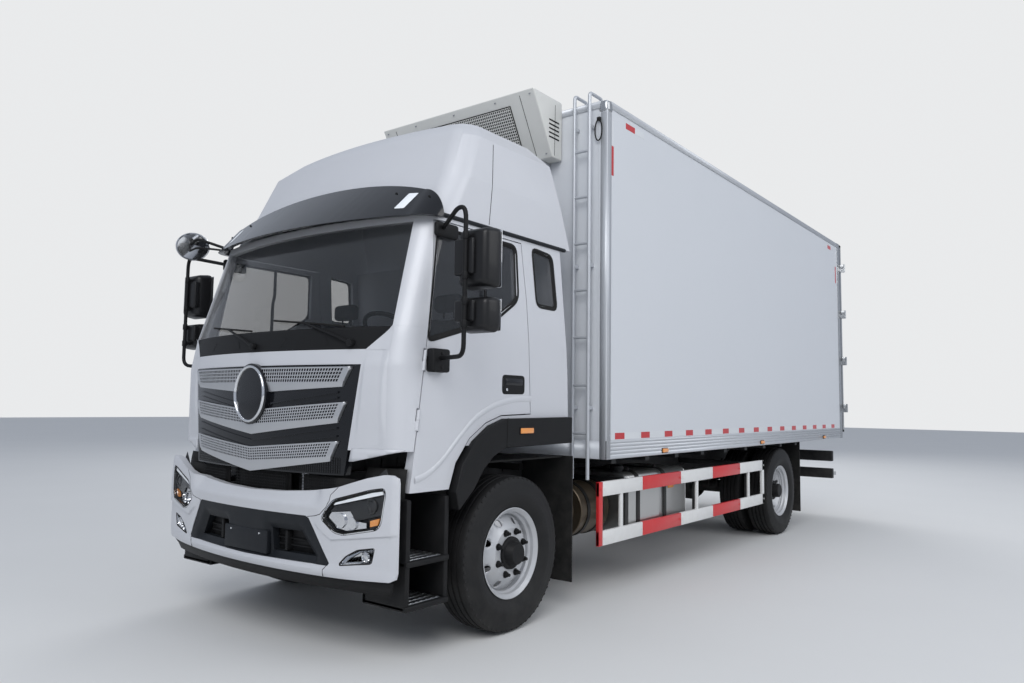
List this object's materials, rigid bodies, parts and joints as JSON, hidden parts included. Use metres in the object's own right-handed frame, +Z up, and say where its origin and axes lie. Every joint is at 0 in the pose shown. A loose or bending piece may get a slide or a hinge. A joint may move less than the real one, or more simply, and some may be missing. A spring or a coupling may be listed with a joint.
{
  "type": "refrigerated truck",
  "caption": "Two-axle refrigerated truck with a tilting high-roof cab, insulated box body, roof-height cooling unit and swinging rear doors.",
  "frame": {"origin": "on the ground, in the middle of the vehicle's length and width", "axes": "+Z up, front faces -Y, +X is the vehicle's left side"},
  "size_m": [3.244, 9.04, 3.974],
  "materials": {
    "cab_paint": "gloss silver-white paint",
    "black_trim": "black moulded plastic",
    "gloss_black": "tinted gloss plastic",
    "slat_metal": "silver perforated slats",
    "glazing": "tinted glass",
    "lamp_lens": "clear lamp lenses",
    "frame_paint": "dark grey chassis paint",
    "cast_grey": "cast and forged running gear",
    "wheel_silver": "silver painted steel wheels",
    "tyre_rubber": "ribbed road tyre",
    "box_skin": "smooth white fibre-reinforced panel",
    "box_alloy": "extruded edge rails",
    "rear_steel": "stainless door frame",
    "unit_white": "off-white moulded covers",
    "tank_alloy": "polished tank",
    "guard_paint": "white and red striped beams",
    "flap_rubber": "mud flaps and liners",
    "seat_cloth": "woven seat cover",
    "mirror_shell": "mirror housings"
  },
  "bodies": {
    "chassis": {"bumper": "cab_paint", "bumper_insert": "black_trim", "front_lamps": "lamp_lens", "ladder_frame": "frame_paint", "engine": "cast_grey", "leaf_springs": "cast_grey", "front_axle": "cast_grey", "rear_axle": "cast_grey", "box_floor": "box_skin", "box_front_wall": "box_skin", "box_side_left": "box_skin", "box_side_right": "box_skin", "box_roof": "box_skin", "box_edge_rails": "box_alloy", "box_rear_frame": "rear_steel", "cooling_unit": "unit_white", "ladder": "tank_alloy", "side_guards": "guard_paint", "fuel_tank": "tank_alloy", "silencer": "cast_grey", "battery_box": "black_trim", "air_reservoir": "frame_paint", "cab_steps": "black_trim", "mudguards": "flap_rubber", "rear_guard": "frame_paint"},
    "cab": {"cab_shell": "cab_paint", "cab_roof_cap": "cab_paint", "sun_visor": "gloss_black", "front_panels": "cab_paint", "grille_panel": "black_trim", "grille_slats": "slat_metal", "cowl_panel": "black_trim", "cab_glass": "glazing", "wheel_arch_flares": "black_trim", "front_mirror": "mirror_shell", "dashboard": "black_trim", "steering_wheel": "black_trim", "seats": "seat_cloth"},
    "cab_door_left": {"door_left": "cab_paint", "door_glass_left": "glazing", "mirror_left": "mirror_shell"},
    "cab_door_right": {"door_right": "cab_paint", "door_glass_right": "glazing", "mirror_right": "mirror_shell"},
    "steer_left": {"knuckle_left": "cast_grey"},
    "steer_right": {"knuckle_right": "cast_grey"},
    "wheel_front_left": {"front_tyre_left": "tyre_rubber", "front_rim_left": "wheel_silver"},
    "wheel_front_right": {"front_tyre_right": "tyre_rubber", "front_rim_right": "wheel_silver"},
    "wheel_rear_left": {"rear_tyres_left": "tyre_rubber", "rear_rims_left": "wheel_silver"},
    "wheel_rear_right": {"rear_tyres_right": "tyre_rubber", "rear_rims_right": "wheel_silver"},
    "cargo_leaf_left": {"cargo_door_left": "box_skin"},
    "cargo_leaf_right": {"cargo_door_right": "box_skin"}
  },
  "joints": [
    {"name": "cab_tilt", "type": "hinge", "parent": "chassis", "child": "cab", "pos_m": [0, -4.365, 0.88], "axis": [1, 0, 0], "range_deg": [0, 45]},
    {"name": "cab_door_left_swing", "type": "hinge", "parent": "cab", "child": "cab_door_left", "pos_m": [1.15, -4.1806, 1.2], "axis": [0, -0.128, -0.9918], "range_deg": [0, 70]},
    {"name": "cab_door_right_swing", "type": "hinge", "parent": "cab", "child": "cab_door_right", "pos_m": [-1.15, -4.1806, 1.2], "axis": [0, 0.128, 0.9918], "range_deg": [0, 70]},
    {"name": "steer_left_turn", "type": "hinge", "parent": "chassis", "child": "steer_left", "pos_m": [0.88, -3.27, 0.506], "axis": [0, 0, 1], "range_deg": [-36, 36]},
    {"name": "steer_right_turn", "type": "hinge", "parent": "chassis", "child": "steer_right", "pos_m": [-0.88, -3.27, 0.506], "axis": [0, 0, 1], "range_deg": [-36, 36]},
    {"name": "wheel_front_left_spin", "type": "hinge", "parent": "steer_left", "child": "wheel_front_left", "pos_m": [1.06, -3.27, 0.506], "axis": [1, 0, 0], "continuous": true},
    {"name": "wheel_front_right_spin", "type": "hinge", "parent": "steer_right", "child": "wheel_front_right", "pos_m": [-1.06, -3.27, 0.506], "axis": [1, 0, 0], "continuous": true},
    {"name": "wheel_rear_left_spin", "type": "hinge", "parent": "chassis", "child": "wheel_rear_left", "pos_m": [0.925, 1.93, 0.506], "axis": [1, 0, 0], "continuous": true},
    {"name": "wheel_rear_right_spin", "type": "hinge", "parent": "chassis", "child": "wheel_rear_right", "pos_m": [-0.925, 1.93, 0.506], "axis": [1, 0, 0], "continuous": true},
    {"name": "cargo_door_left_swing", "type": "hinge", "parent": "chassis", "child": "cargo_leaf_left", "pos_m": [1.325, 4.491, 2.5], "axis": [0, 0, -1], "range_deg": [0, 268]},
    {"name": "cargo_door_right_swing", "type": "hinge", "parent": "chassis", "child": "cargo_leaf_right", "pos_m": [-1.325, 4.491, 2.5], "axis": [0, 0, 1], "range_deg": [0, 268]}
  ],
  "couplings": [
    {"joint": "steer_right_turn", "follows": "steer_left_turn", "ratio": 1}
  ]
}
